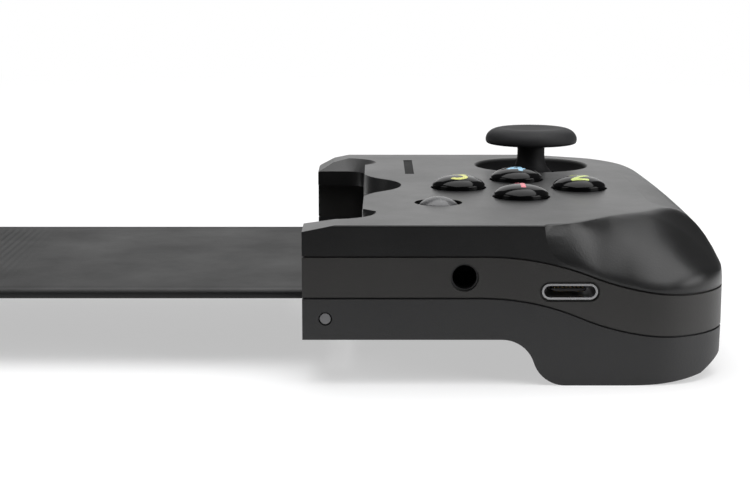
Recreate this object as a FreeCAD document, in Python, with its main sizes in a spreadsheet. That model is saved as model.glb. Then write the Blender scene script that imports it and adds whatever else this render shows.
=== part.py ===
import FreeCAD, Part
import math
import os
import re
import Sketcher

Vector = FreeCAD.Vector
Rotation = FreeCAD.Rotation

# Clip-on controller for a phone: two grips joined by a thin folding strap.
# X runs from the left grip to the right grip, Y away from the player, Z up.
# The origin is below the middle of the strap, level with the bottom of the grips.

SIZES = {
    # grip shell
    "grip_inner": 55.5, "grip_width": 64.5, "grip_depth": 84.0, "grip_top": 24.1,
    "inner_bottom": 6.95, "shell_wall": 2.2, "side_round": 10.0,
    "near_corner": 12.5, "far_corner": 13.5, "hairline": 0.3,
    "upper_seam": 19.4, "lower_seam": 13.2, "upper_seam_end": 13.5, "lower_seam_end": 7.3,
    "far_block": 35.2, "trigger_block": 33.2, "end_wall": 15.2,
    # phone bay
    "phone_length": 138.3, "phone_depth": 67.1, "phone_thick": 7.1, "phone_bottom": 12.1,
    "phone_gap": 0.25, "lip_edge": 8.7, "lip_half": 28.4,
    "thumb_in": 5.0, "thumb_radius": 7.9, "thumb_slope": 0.49, "thumb_flare": 12.5,
    # hinge and strap
    "hinge_in": 3.4, "hinge_height": 10.1, "pin_dia": 1.6, "pin_clear": 0.05,
    "knuckle_dia": 3.8, "strap_depth": 60.0, "strap_bottom": 10.6, "strap_top": 11.95,
    "strap_bay": 6.4, "leaf_reach": 10.0,
    # sockets and plug
    "jack_in": 23.9, "jack_height": 16.3, "jack_mouth": 4.2, "jack_bore": 3.6,
    "port_in": 39.4, "port_height": 14.2, "port_width": 8.2, "port_thick": 2.35,
    "plug_width": 6.7, "plug_thick": 1.5, "plug_reach": 6.7,
    # controls
    "buttons_in": 34.9, "buttons_y": -3.3, "button_arm": 10.1, "button_turn": -2.3,
    "button_dia": 8.8, "button_well": 9.4, "button_crown": 2.7,
    "small_in": 20.8, "small_y": -19.8, "small_dia": 6.6, "small_well": 7.6, "small_crown": 0.9,
    "light_in": 16.9, "light_y": 23.5, "light_width": 1.6, "light_length": 19.3,
    "stick_in": 39.6, "stick_y": 26.5, "dish_dia": 20.6, "dish_depth": 1.7, "stick_hole": 12.0,
    "stick_pivot": 15.4, "cap_dia": 16.8, "cap_low": 28.2, "cap_high": 31.5, "stem_dia": 4.8,
    "skirt_radius": 8.2, "module_side": 13.0,
    "pad_span": 21.0, "pad_arm": 7.4, "pad_gap": 0.7, "pad_crown": 1.6, "pad_dish": 25.0,
    # boards
    "board_bottom": 9.15, "board_thick": 1.2, "mat_board": 16.0, "mat_board_thick": 1.0,
    # bumper and trigger
    "shoulder_in": 24.0, "shoulder_width": 30.0, "bumper_low": 15.2, "bumper_high": 22.4,
    "bumper_back": 37.4, "bumper_proud": 1.0, "bumper_gap": 0.3,
    "trigger_back": 34.4, "trigger_roof": 13.9, "trigger_pivot_y": 37.4, "trigger_pivot": 11.4,
    "trigger_pin_dia": 2.0, "trigger_barrel": 2.1,
    # fasteners
    "screw_head": 3.2, "screw_shank": 1.6, "post_dia": 4.4,
}

doc = FreeCAD.newDocument("controller")
sheet = doc.addObject("Spreadsheet::Sheet", "Sizes")
for row, (alias, value) in enumerate(SIZES.items(), start=1):
    sheet.set("A%d" % row, alias)
    sheet.set("B%d" % row, str(value))
    sheet.setAlias("B%d" % row, alias)
doc.recompute()

PARTS = []


def size(alias):
    """A driving dimension, read from the sheet."""
    return float(sheet.get(alias))


def linked(text):
    """The same expression with each alias pointed at the sheet."""
    return re.sub(r"[a-z_]{3,}(?![a-z_]*\()", lambda word: "Sizes." + word.group(), text)


def bind(thing, **properties):
    """Sets each property, from the sheet where the value is an expression in aliases."""
    for name, value in properties.items():
        if isinstance(value, str):
            thing.setExpression(name, linked(value))
        else:
            setattr(thing, name, value)


def place(thing, x=0, y=0, z=0, turn=None):
    """Puts a thing at a point whose coordinates may be expressions in aliases."""
    if turn is not None:
        thing.Placement = FreeCAD.Placement(Vector(0, 0, 0), turn)
    for axis, value in (("x", x), ("y", y), ("z", z)):
        thing.setExpression("Placement.Base." + axis, linked(str(value)))
    return thing


ALONG_X = Rotation(Vector(0, 1, 0), 90)
ALONG_Y = Rotation(Vector(1, 0, 0), -90)
UPRIGHT = Rotation()


def box(name, length, depth, height, x, y, z):
    """A block with one corner at x, y, z."""
    block = doc.addObject("Part::Box", name)
    bind(block, Length=length, Width=depth, Height=height)
    return place(block, x, y, z)


def rod(name, radius, length, x, y, z, turn=UPRIGHT):
    """A cylinder that starts at x, y, z and runs up, or as it is turned."""
    cylinder = doc.addObject("Part::Cylinder", name)
    bind(cylinder, Radius=radius, Height=length)
    return place(cylinder, x, y, z, turn)


def cone(name, low_radius, high_radius, height, x, y, z):
    """A frustum that stands at x, y, z."""
    frustum = doc.addObject("Part::Cone", name)
    bind(frustum, Radius1=low_radius, Radius2=high_radius, Height=height)
    return place(frustum, x, y, z)


def shaped(name, shape):
    """A shape made by Part's own functions, as an object of the document."""
    feature = doc.addObject("Part::Feature", name)
    feature.Shape = shape
    return feature


def fuse(name, pieces):
    joined = doc.addObject("Part::MultiFuse", name)
    joined.Shapes = pieces
    return joined


def common(name, pieces):
    shared = doc.addObject("Part::MultiCommon", name)
    shared.Shapes = pieces
    return shared


def cut(name, base, tools):
    """The base less its tools, which may overlap each other."""
    result = doc.addObject("Part::Cut", name)
    result.Base = base
    result.Tool = tools[0] if len(tools) == 1 else fuse(name + "_tools", tools)
    return result


def group(name, pieces):
    """Separate solids kept together in one piece."""
    gathered = doc.addObject("Part::Compound", name)
    gathered.Links = pieces
    return gathered


def mirrored(name, source):
    """The same piece on the other side of the middle plane."""
    twin = doc.addObject("Part::Mirroring", name)
    twin.Source = source
    twin.Normal = Vector(1, 0, 0)
    return twin


def part(thing, label):
    """Names a finished piece, which is then written to a file of that name."""
    thing.Label = label
    PARTS.append(thing)
    return thing


def segment(start, end):
    return Part.LineSegment(start, end).toShape()


def arc(start, middle, end):
    return Part.Arc(start, middle, end).toShape()


def tangent_arc(start, heading, end):
    """The arc from start that leaves along heading and reaches end."""
    chord = end - start
    normal = heading.cross(chord).cross(heading).normalize()
    radius = chord.Length ** 2 / (2 * chord.dot(normal))
    centre = start + normal * radius
    middle = centre + ((start + end) / 2 - centre).normalize() * radius
    return arc(start, middle, end)


# Shell of a grip

GRIP_IN = size("grip_inner")
GRIP_OUT = GRIP_IN + size("grip_width")
HALF_DEPTH = size("grip_depth") / 2
TOP = size("grip_top")
NEAR_BLEND_IN = 37.0
NEAR_BLEND_END = 51.5
FAR_BLEND_IN = 38.0
FAR_BLEND_END = 60.0
EDGE_ROUND = 0.35
SIDE_BULGE = 0.5
UPPER_SEAM = (27.0, 58.0, size("upper_seam"), size("upper_seam_end"))
LOWER_SEAM = (26.5, 55.5, size("lower_seam"), size("lower_seam_end"))


def plan(inset, height):
    """The grip's outline seen from above, at a height, as a closed wire."""
    left = GRIP_IN
    near = -HALF_DEPTH
    far = HALF_DEPTH
    right = GRIP_OUT - SIDE_BULGE
    corner = size("near_corner")
    back = size("far_corner")
    point = [
        Vector(left, near, height), Vector(left + NEAR_BLEND_IN, near, height),
        Vector(right - corner, near, height), Vector(right, near + corner, height),
        Vector(right, far - back, height), Vector(right - back, far, height),
        Vector(left + FAR_BLEND_IN, far, height), Vector(left, far, height),
    ]
    turn = math.cos(math.radians(45))
    near_middle = Vector(right - corner * (1 - turn), near + corner * (1 - turn), height)
    far_middle = Vector(right - back * (1 - turn), far - back * (1 - turn), height)
    bulge = Vector(GRIP_OUT, -6, height)
    wire = Part.Wire([
        segment(point[0], point[1]), segment(point[1], point[2]),
        arc(point[2], near_middle, point[3]), arc(point[3], bulge, point[4]),
        arc(point[4], far_middle, point[5]), segment(point[5], point[6]),
        segment(point[6], point[7]), segment(point[7], point[0]),
    ])
    return wire.makeOffset2D(-inset) if inset else wire


def closed_face(edges):
    return Part.Face(Part.Wire(Part.sortEdges(edges)[0]))


def chain(points):
    """Straight edges from point to point."""
    return [segment(start, end) for start, end in zip(points, points[1:])]


def stepped(start, end, low, high, make):
    """Two equal arcs that lead from one level to another, as an S."""
    middle = make((start + end) / 2, (low + high) / 2)
    first = make(start, low)
    last = make(end, high)
    level = make(end, low) - first
    return [tangent_arc(first, level, middle), tangent_arc(last, level * -1, middle)]


def sole(inset):
    """The space under the grip: deep below the fingers, high near the phone and the far edge."""
    floor = size("inner_bottom") + inset
    under = -5.0
    handle_start, handle_end = 29.5, 39.0
    rise_start, rise_end = 48.0, 59.6
    heel_start, heel_end = 6.0, 20.0

    def across(along, level):
        return Vector(GRIP_IN + along, -60, level)

    edges = chain([across(-5, under), across(-5, floor), across(handle_start, floor)])
    edges += stepped(handle_start, handle_end, floor, inset, across)
    edges.append(segment(across(handle_end, inset), across(rise_start, inset)))
    edges.append(tangent_arc(across(rise_start, inset), Vector(1, 0, 0), across(rise_end, inset + 1.2)))
    edges += chain([
        across(rise_end, inset + 1.2), across(63.3, inset + 3.3), across(63.6, inset + 7.4),
        across(70, inset + 7.5), across(70, under), across(-5, under),
    ])
    beneath = closed_face(edges).extrude(Vector(0, 120, 0))

    def along(depth, level):
        return Vector(GRIP_IN - 5, depth, level)

    edges = stepped(heel_start, heel_end, inset, floor, along)
    edges += chain([
        along(heel_end, floor), along(60, floor), along(60, under), along(heel_start, under),
        along(heel_start, inset),
    ])
    return [beneath, closed_face(edges).extrude(Vector(80, 0, 0))]


def seam_level(along):
    """The height of the seam under the top shell, level by the phone and lower at the outer end."""
    start, end, high, low = UPPER_SEAM
    reach = (end - start) / 2
    drop = (high - low) / 2
    bend = (reach ** 2 + drop ** 2) / (2 * drop)
    if along <= start:
        return high
    if along < start + reach:
        return high - bend + math.sqrt(bend ** 2 - (along - start) ** 2)
    return low + bend - math.sqrt(bend ** 2 - max(end - along, 0.0) ** 2)


SLOPE_LIFT = 0.5
SLOPE_FOOT = -42.0
SLOPE_STEEPEST = 72.0
RIDGE_TILT = 16.7
RIDGE = [
    (35.0, -42.9, 24.1), (39.5, -40.3, 24.1), (43.5, -36.9, 24.1), (48.4, -32.0, 24.1),
    (53.0, -30.4, 23.5), (58.0, -30.0, 21.0), (62.0, -29.4, 18.0), (65.5, -28.0, 15.4),
]


def slope_section(along, depth, level, inset):
    """All that lies in front of a bulging slope that leads from its ridge down to a line over the seam."""
    x = GRIP_IN + along
    foot = min(SLOPE_FOOT, depth + 0.1) + inset
    low = Vector(x, foot, seam_level(along) + SLOPE_LIFT)
    high = Vector(x, depth + inset, level - inset)
    rise = high - low
    tilt = math.degrees(math.atan2(rise.z, rise.y))
    bend = math.radians(min(max(min(tilt - RIDGE_TILT, SLOPE_STEEPEST - tilt), 1.0), 31.0))
    outward = Vector(0, -rise.z, rise.y).normalize()
    middle = (low + high) / 2 + outward * (rise.Length / 2 * math.tan(bend / 2))
    steep = math.radians(tilt) + bend
    beneath = low - Vector(0, math.cos(steep), math.sin(steep)) * 1.2
    back = math.radians(RIDGE_TILT)
    beyond = high + Vector(0, math.cos(back), math.sin(back)) * 15
    corners = [high, beyond, Vector(x, beyond.y, 50), Vector(x, -70, 50), Vector(x, -70, beneath.z), beneath, low]
    return Part.Wire([arc(low, middle, high)] + chain(corners))


def near_slope(inset):
    """The slope between the ridge of the near corner and the seam."""
    return Part.makeLoft([slope_section(*station, inset) for station in RIDGE], True, False)


def edge_round(point, small, large):
    """The top edge's radius at a point: small along the straight edges, large round the outer side."""
    along = point.x - GRIP_IN
    if point.y < 0:
        share = (along - NEAR_BLEND_IN) / (NEAR_BLEND_END - NEAR_BLEND_IN)
    else:
        share = (along - FAR_BLEND_IN) / (FAR_BLEND_END - FAR_BLEND_IN)
    return small + (large - small) * min(max(share, 0.0), 1.0)


def grip_form(name, inset, top):
    """The grip's outer form moved inward by inset, with its soft outer top edge and its sole."""
    prism = shaped(name + "_prism", Part.Face(plan(inset, -1.0)).extrude(Vector(0, 0, top + 1.0)))
    large = size("side_round") - inset
    small = max(EDGE_ROUND - inset, 0.2)
    chosen = []
    for index, edge in enumerate(prism.Shape.Edges, start=1):
        ends = [edge.Vertexes[0].Point, edge.Vertexes[-1].Point]
        on_top = all(abs(end.z - top) < 1e-4 for end in ends)
        if on_top and (ends[0].x + ends[1].x) / 2 - GRIP_IN > NEAR_BLEND_IN:
            chosen.append((index, edge_round(ends[0], small, large), edge_round(ends[1], small, large)))
    rounded = doc.addObject("Part::Fillet", name + "_rounded")
    rounded.Base = prism
    rounded.Edges = chosen
    standing = cut(name + "_standing", rounded,
                   [shaped("%s_under_%d" % (name, index), solid) for index, solid in enumerate(sole(inset))])
    return cut(name, standing, [shaped(name + "_slope", near_slope(inset))])


def seam_edges(start, end, level, end_level):
    """A seam's line seen from the near side: level by the phone, lower at the outer end."""
    def across(along, height):
        return Vector(GRIP_IN + along, -60, height)

    edges = [segment(across(-5, level), across(start, level))]
    edges += stepped(start, end, level, end_level, across)
    edges.append(segment(across(end, end_level), across(70, end_level)))
    return edges


def shifted(seam, rise):
    return seam[0], seam[1], seam[2] + rise, seam[3] + rise


def layer(name, low, high):
    """Everything between two seam lines, from the near side to the far side."""
    def rim(side, seam_line):
        if seam_line is None:
            level = -6.0 if side == "low" else 40.0
            return [segment(Vector(GRIP_IN - 5, -60, level), Vector(GRIP_IN + 70, -60, level))], level, level
        return seam_edges(*seam_line), seam_line[2], seam_line[3]

    below, below_left, below_right = rim("low", low)
    above, above_left, above_right = rim("high", high)
    left = segment(Vector(GRIP_IN - 5, -60, below_left), Vector(GRIP_IN - 5, -60, above_left))
    right = segment(Vector(GRIP_IN + 70, -60, below_right), Vector(GRIP_IN + 70, -60, above_right))
    return shaped(name, closed_face(below + above + [left, right]).extrude(Vector(0, 120, 0)))


def from_grip(along):
    """A place measured from the grip's inner edge, as an expression in aliases."""
    return "grip_inner + %s" % along


outer_form = grip_form("outer_form", 0.0, TOP)
groove_form = grip_form("groove_form", 0.4, TOP - 0.4)
wall_form = grip_form("wall_form", size("shell_wall"), TOP - size("shell_wall"))
full_form = grip_form("full_form", -size("bumper_proud"), TOP)

room = fuse("room", [
    box("low_room", 60, "grip_depth / 2 + trigger_block", 20, from_grip("end_wall"), "-grip_depth / 2", -5),
    box("high_room", 60, "grip_depth / 2 + far_block", 20, from_grip("end_wall"), "-grip_depth / 2",
        "trigger_roof + 0.4"),
])
cavity = common("cavity", [wall_form, room])

half_gap = size("hairline") / 2
upper_hairline = cut("upper_hairline", layer("upper_slab", shifted(UPPER_SEAM, -half_gap),
                                             shifted(UPPER_SEAM, half_gap)), [groove_form])
lower_hairline = cut("lower_hairline", layer("lower_slab", shifted(LOWER_SEAM, -half_gap),
                                             shifted(LOWER_SEAM, half_gap)), [groove_form])


# The bay that the phone's end lies in, and the horns that hold its corners

def bay_outline(height, mouth, bend_in, bend, corner, lip_in, lip):
    """The opening between the horns at a height: two rounded mouths and the lip between them."""
    def spot(along, depth):
        return Vector(GRIP_IN + along, depth, height)

    near = [spot(-6, -mouth), spot(bend_in, -mouth), spot(bend[0], -bend[1]), spot(corner[0], -corner[1]),
            spot(lip_in, -lip)]
    far = [Vector(place.x, -place.y, height) for place in near]
    return Part.Wire([
        segment(near[0], near[1]), arc(near[1], near[2], near[3]), segment(near[3], near[4]),
        segment(near[4], far[4]), segment(far[4], far[3]), arc(far[3], far[2], far[1]),
        segment(far[1], far[0]), segment(far[0], near[0]),
    ])


lip_edge = size("lip_edge")
lip_half = size("lip_half")
bay_low = bay_outline(19.0, 32.2, 4.6, (7.6, 31.2), (lip_edge, lip_half), lip_edge, lip_half - 2.4)
bay_middle = bay_outline(22.1, 32.2, 4.6, (7.6, 31.2), (lip_edge, lip_half), lip_edge, lip_half - 2.4)
bay_high = bay_outline(24.1, 36.2, 5.5, (9.2, 34.1), (lip_edge + 2.2, lip_half + 0.4), lip_edge + 0.2, lip_half - 2)
bay_over = bay_outline(26.1, 40.2, 6.4, (10.8, 37.0), (lip_edge + 4.4, lip_half + 0.8), lip_edge + 0.4, lip_half - 1.6)
mouth_walls = shaped("mouth_walls", Part.makeLoft([bay_low, bay_middle], True, True))
mouth_bevel = shaped("mouth_bevel", Part.makeLoft([bay_middle, bay_high, bay_over], True, True))

phone_space = box("phone_space", "phone_length / 2 + phone_gap - grip_inner + 6",
                  "phone_depth + 2 * phone_gap", "phone_thick + phone_gap",
                  "grip_inner - 6", "-phone_depth / 2 - phone_gap", "phone_bottom")


def thumb_outline(height):
    """A round notch over the phone's end key, flared into the lip, at a height."""
    radius = size("thumb_radius") + (height - size("upper_seam")) * size("thumb_slope")
    flare = size("thumb_flare")
    centre = Vector(GRIP_IN + size("thumb_in"), 0, height)
    edge = size("lip_edge") - size("thumb_in")
    across = math.sqrt((radius + flare) ** 2 - (edge + flare) ** 2)
    flare_centre = centre + Vector(edge + flare, across, 0)
    joint = centre + Vector(edge + flare, across, 0).normalize() * radius
    lip = centre + Vector(edge, across, 0)
    middle = flare_centre + ((joint + lip) / 2 - flare_centre).normalize() * flare
    half = [Vector(GRIP_IN - 6, across, height), lip, middle, joint]
    other = [Vector(spot.x, -spot.y, height) for spot in half]
    return Part.Wire([
        segment(half[0], half[1]), arc(half[1], half[2], half[3]),
        arc(half[3], centre + Vector(radius, 0, 0), other[3]), arc(other[3], other[2], other[1]),
        segment(other[1], other[0]), segment(other[0], half[0]),
    ])


thumb_notch = shaped("thumb_notch", Part.makeLoft([thumb_outline(19.3), thumb_outline(26.1)], True, True))


def horn_ramp(name, start, slope):
    """All that lies over the sloping tip of a horn."""
    points = [Vector(GRIP_IN + along, start, height) for along, height in slope]
    return shaped(name, closed_face(chain(points + points[:1])).extrude(Vector(0, 60, 0)))


near_ramp = horn_ramp("near_ramp", -60, [(-5, 22.1), (4.9, 24.1), (-5, 30)])
far_ramp = horn_ramp("far_ramp", 0, [(-2, 20.5), (0.4, 22.2), (2.9, 23.5), (5.8, 24.1), (-2, 30)])
strap_bay = box("strap_bay", "strap_bay + 6", "strap_depth + 1.6", 8.25, "grip_inner - 6",
                "-strap_depth / 2 - 0.8", 4)

# Pockets and bores that pass through more than one shell

bumper_bay = box("bumper_bay", "shoulder_width + 2 * bumper_gap", 20,
                 "bumper_high - bumper_low + 2 * bumper_gap",
                 from_grip("shoulder_in - bumper_gap"), "bumper_back", "bumper_low - bumper_gap")
trigger_bay = box("trigger_bay", "shoulder_width + 2 * bumper_gap", 20, "trigger_roof + 6",
                  from_grip("shoulder_in - bumper_gap"), "trigger_back", -6)
hinge_bore = rod("hinge_bore", "pin_dia / 2", "grip_depth + 2", from_grip("hinge_in"),
                 "-grip_depth / 2 - 1", "hinge_height", ALONG_Y)
hinge_mouths = [
    rod("hinge_mouth_%d" % index, "pin_dia / 2 + 0.2", 2, from_grip("hinge_in"), start, "hinge_height", ALONG_Y)
    for index, start in enumerate(("-grip_depth / 2 - 1", "grip_depth / 2 - 1"))
]
trigger_bore = rod("trigger_bore", "trigger_pin_dia / 2", "shoulder_width + 5", from_grip("shoulder_in - 2.5"),
                   "trigger_pivot_y", "trigger_pivot", ALONG_X)

INNER_SCREWS = [(10.0, -38.0), (10.0, 38.0)]
OUTER_SCREWS = [(49.0, -24.0), (49.0, 4.0)]
POSTS = OUTER_SCREWS + [(21.0, -24.0), (21.0, 11.0)]
INNER_HEAD = 7.8
OUTER_HEAD = 1.6


def screw_tools(name, places, seat, length, under, radius_gap):
    """Heads and shanks of screws put in from below: solids, or the holes they need."""
    shapes = []
    for index, (along, depth) in enumerate(places):
        head = rod("%s_head_%d" % (name, index), "screw_head / 2 + %s" % radius_gap, seat - under,
                   from_grip(along), depth, under)
        shank = rod("%s_shank_%d" % (name, index), "screw_shank / 2", length, from_grip(along), depth, seat)
        shapes.append((head, shank))
    return shapes


inner_holes = screw_tools("inner_hole", INNER_SCREWS, INNER_HEAD, 9.0, 0.0, 0.1)
outer_holes = screw_tools("outer_hole", OUTER_SCREWS, OUTER_HEAD, 9.0, -1.0, 0.1)

grip_walls = cut("grip_walls", outer_form, [
    cavity, upper_hairline, lower_hairline, mouth_walls, mouth_bevel, phone_space, thumb_notch, near_ramp, far_ramp,
    strap_bay, bumper_bay, trigger_bay, hinge_bore, trigger_bore,
] + hinge_mouths + [tool for pair in inner_holes for tool in pair])

top_layer = layer("top_layer", UPPER_SEAM, None)
band_layer = layer("band_layer", LOWER_SEAM, UPPER_SEAM)
bottom_layer = layer("bottom_layer", None, LOWER_SEAM)

# Top shell: the dish of the stick, the wells of the buttons, the light's window

STICK_X = from_grip("stick_in")
DISH_EDGE = size("dish_dia") / 2
DISH_FLOOR = TOP - size("dish_depth")


def dish_spot(out, height):
    return Vector(GRIP_IN + size("stick_in") + out, size("stick_y"), height)


dish_section = closed_face([
    segment(dish_spot(0, DISH_FLOOR), dish_spot(DISH_EDGE - 3.6, DISH_FLOOR)),
    arc(dish_spot(DISH_EDGE - 3.6, DISH_FLOOR), dish_spot(DISH_EDGE - 1.2, DISH_FLOOR + 0.55),
        dish_spot(DISH_EDGE - 0.1, TOP - 0.2)),
] + chain([
    dish_spot(DISH_EDGE - 0.1, TOP - 0.2), dish_spot(DISH_EDGE + 0.4, TOP + 0.1), dish_spot(0, TOP + 0.1),
    dish_spot(0, DISH_FLOOR),
]))
dish = shaped("dish", dish_section.revolve(dish_spot(0, 0), Vector(0, 0, 1), 360))
dish_boss = rod("dish_boss", "dish_dia / 2 + 0.5", 1.0, STICK_X, "stick_y", "grip_top - shell_wall - 0.6")
stick_hole = rod("stick_hole", "stick_hole / 2", 8, STICK_X, "stick_y", 19)
small_hole = rod("small_hole", "small_well / 2", 8, from_grip("small_in"), "small_y", 19)
top_walls = fuse("top_with_boss", [common("top_walls", [grip_walls, top_layer]), dish_boss])
top_base = cut("top_base", top_walls, [dish, stick_hole, small_hole])

BUTTON_TURNS = {"right_button": 0, "far_button": 90, "left_button": 180, "near_button": 270}


def button_place(turn):
    """The x and y of a face button, as expressions in aliases."""
    angle = "(%s + button_turn)" % turn
    return (from_grip("buttons_in + button_arm * cos(%s)" % angle),
            "buttons_y + button_arm * sin(%s)" % angle)


wells = []
for name, turn in BUTTON_TURNS.items():
    x, y = button_place(turn)
    wells.append(rod(name + "_well", "button_well / 2", 8, x, y, 19))
light_slot = box("light_slot", "light_width", "light_length", 8, from_grip("light_in - light_width / 2"),
                 "light_y - light_length / 2", 19)
part(cut("right_top", top_base, wells + [light_slot]), "right_top_shell")

pad_wells = [
    box("pad_well_across", "pad_span + 2 * pad_gap", "pad_arm + 2 * pad_gap", 8,
        "-grip_inner - buttons_in - pad_span / 2 - pad_gap", "buttons_y - pad_arm / 2 - pad_gap", 19),
    box("pad_well_along", "pad_arm + 2 * pad_gap", "pad_span + 2 * pad_gap", 8,
        "-grip_inner - buttons_in - pad_arm / 2 - pad_gap", "buttons_y - pad_span / 2 - pad_gap", 19),
    rod("pad_dish", "pad_dish / 2", 4, "-grip_inner - buttons_in", "buttons_y", "grip_top - 0.6"),
]
part(cut("left_top", mirrored("left_top_walls", top_base), pad_wells), "left_top_shell")

# Mid band: the mouths of the headphone socket and of the charging socket


def slot_face(width, thick, depth):
    """A slot with round ends that faces the near side."""
    half = width / 2 - thick / 2
    x = GRIP_IN + size("port_in")
    z = size("port_height")
    corners = [Vector(x - half, depth, z - thick / 2), Vector(x + half, depth, z - thick / 2),
               Vector(x + half, depth, z + thick / 2), Vector(x - half, depth, z + thick / 2)]
    return Part.Face(Part.Wire([
        segment(corners[0], corners[1]),
        arc(corners[1], Vector(x + half + thick / 2, depth, z), corners[2]),
        segment(corners[2], corners[3]),
        arc(corners[3], Vector(x - half - thick / 2, depth, z), corners[0]),
    ]))


PORT_WIDTH = size("port_width")
PORT_THICK = size("port_thick")
port_hole = shaped("port_hole", slot_face(PORT_WIDTH, PORT_THICK, -45).extrude(Vector(0, 6, 0)))
port_rim = shaped("port_rim", slot_face(PORT_WIDTH + 0.7, PORT_THICK + 0.7, -45).extrude(Vector(0, 3.4, 0)))
jack_hole = rod("jack_hole", "jack_mouth / 2", 6, from_grip("jack_in"), "-grip_depth / 2 - 2", "jack_height",
                ALONG_Y)
plug_hole = box("plug_hole", 3, 9.5, 3.4, from_grip("end_wall - 2.2"), -4.75,
                "phone_bottom + phone_thick / 2 - 1.7")
band_base = cut("band_base", common("band_walls", [grip_walls, band_layer]), [plug_hole])
part(cut("right_band", band_base, [port_hole, port_rim, jack_hole]), "right_mid_band")
part(mirrored("left_band", band_base), "left_mid_band")

# Bottom shell: the floor of the phone bay, the palm side of the handle, posts for boards and screws

pad_recess = box("pad_recess", 6, 54, 2, from_grip(7.2), -27, "phone_bottom - 0.5")
posts = common("posts", [outer_form, fuse("post_rods", [
    rod("post_%d" % index, "post_dia / 2", "mat_board - 1", from_grip(along), depth, 1)
    for index, (along, depth) in enumerate(POSTS)
])])
bottom_walls = fuse("bottom_with_posts", [common("bottom_walls", [grip_walls, bottom_layer]), posts])
part(cut("right_bottom", bottom_walls, [pad_recess] + [tool for pair in outer_holes for tool in pair]),
     "right_bottom_shell")

# Inside the grip: boards, sockets, the phone's plug

board_clear = [
    rod("board_clear_%d" % index, "post_dia / 2 + 0.1", 6, from_grip(along), depth, 7)
    for index, (along, depth) in enumerate(POSTS)
]
main_plate = box("main_plate", 38, 68, "board_thick", from_grip(16), -36, "board_bottom")
part(cut("main_board", main_plate, board_clear), "right_main_board")
part(box("button_board", 34.4, 40.4, "mat_board_thick", from_grip(17.8), -26.4, "mat_board"),
     "right_button_board")

DOME_HEIGHT = 1.1
MAT_THICK = 0.6


def dome(name, x, y):
    """One rubber dome of the mat, a frustum that stands on the board."""
    return cone(name, 2.6, 1.9, DOME_HEIGHT, x, y, "mat_board + mat_board_thick")


def mat(name, x, places):
    """The rubber mat that lies on the button board, with a dome under each key."""
    plate = box(name + "_plate", 32, 38, MAT_THICK, x, -25, "mat_board + mat_board_thick")
    domes = [dome("%s_dome_%d" % (name, index), *spot) for index, spot in enumerate(places)]
    return fuse(name, [plate] + domes)


small_spot = (from_grip("small_in"), "small_y")
part(mat("right_mat", from_grip(19), [button_place(turn) for turn in BUTTON_TURNS.values()] + [small_spot]),
     "right_membrane")
PAD_X = "-grip_inner - buttons_in"
pad_spots = [(PAD_X + " + 7.6", "buttons_y"), (PAD_X + " - 7.6", "buttons_y"),
             (PAD_X, "buttons_y + 7.6"), (PAD_X, "buttons_y - 7.6"), ("-grip_inner - small_in", "small_y")]
left_mat = mat("left_mat_sheet", "-grip_inner - 51", pad_spots)
part(cut("left_mat", left_mat, [rod("fulcrum_clear", 1.8, 4, PAD_X, "buttons_y", 16)]), "left_membrane")

lens_stem = box("lens_stem", "light_width", "light_length", 2.9, from_grip("light_in - light_width / 2"),
                "light_y - light_length / 2", "grip_top - shell_wall - 0.8")
lens_foot = box("lens_foot", 2.2, "light_length + 1.2", 0.8, from_grip("light_in - 1.1"),
                "light_y - light_length / 2 - 0.6", "grip_top - shell_wall - 0.8")
part(fuse("lens", [lens_stem, lens_foot]), "indicator_lens")

jack_block = box("jack_block", 6, 12.3, "jack_height + 2.9 - board_bottom - board_thick",
                 from_grip("jack_in - 3"), "shell_wall - grip_depth / 2", "board_bottom + board_thick")
jack_collar = rod("jack_collar", "jack_mouth / 2 - 0.02", 1.7, from_grip("jack_in"), "shell_wall - grip_depth / 2 - 1.6",
                  "jack_height", ALONG_Y)
jack_bore = rod("jack_bore", "jack_bore / 2", 12.8, from_grip("jack_in"), "-grip_depth / 2", "jack_height",
                ALONG_Y)
part(cut("jack", fuse("jack_body", [jack_block, jack_collar]), [jack_bore]), "headphone_jack")

port_block = box("port_block", 9.6, 8.8, "port_height + 1.6 - board_bottom - board_thick",
                 from_grip("port_in - 4.8"), "shell_wall - grip_depth / 2", "board_bottom + board_thick")
port_shell = shaped("port_shell", slot_face(PORT_WIDTH, PORT_THICK, -HALF_DEPTH + 0.05).extrude(Vector(0, 3, 0)))
port_hollow = shaped("port_hollow", slot_face(PORT_WIDTH - 0.6, PORT_THICK - 0.6, -45).extrude(Vector(0, 10, 0)))
part(cut("port", fuse("port_body", [port_block, port_shell]), [port_hollow]), "charge_port")

PLUG_LEVEL = "phone_bottom + phone_thick / 2"
plug_tab = box("plug_tab", "plug_reach + 2", "plug_width", "plug_thick",
               "phone_length / 2 - plug_reach", "-plug_width / 2", PLUG_LEVEL + " - plug_thick / 2")
plug_neck = box("plug_neck", "end_wall + grip_inner - phone_length / 2 - phone_gap + 0.2", 9.5, 3.4,
                "phone_length / 2 + phone_gap", -4.75, PLUG_LEVEL + " - 1.7")
plug_base = box("plug_base", 2.2, 14, 6, from_grip("end_wall"), -7, PLUG_LEVEL + " - 3")
part(fuse("plug", [plug_tab, plug_neck, plug_base]), "phone_plug")
part(box("cradle_pad", 6, 54, 0.5, from_grip(7.2), -27, "phone_bottom - 0.5"), "right_cradle_pad")

# Hinge and strap

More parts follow.
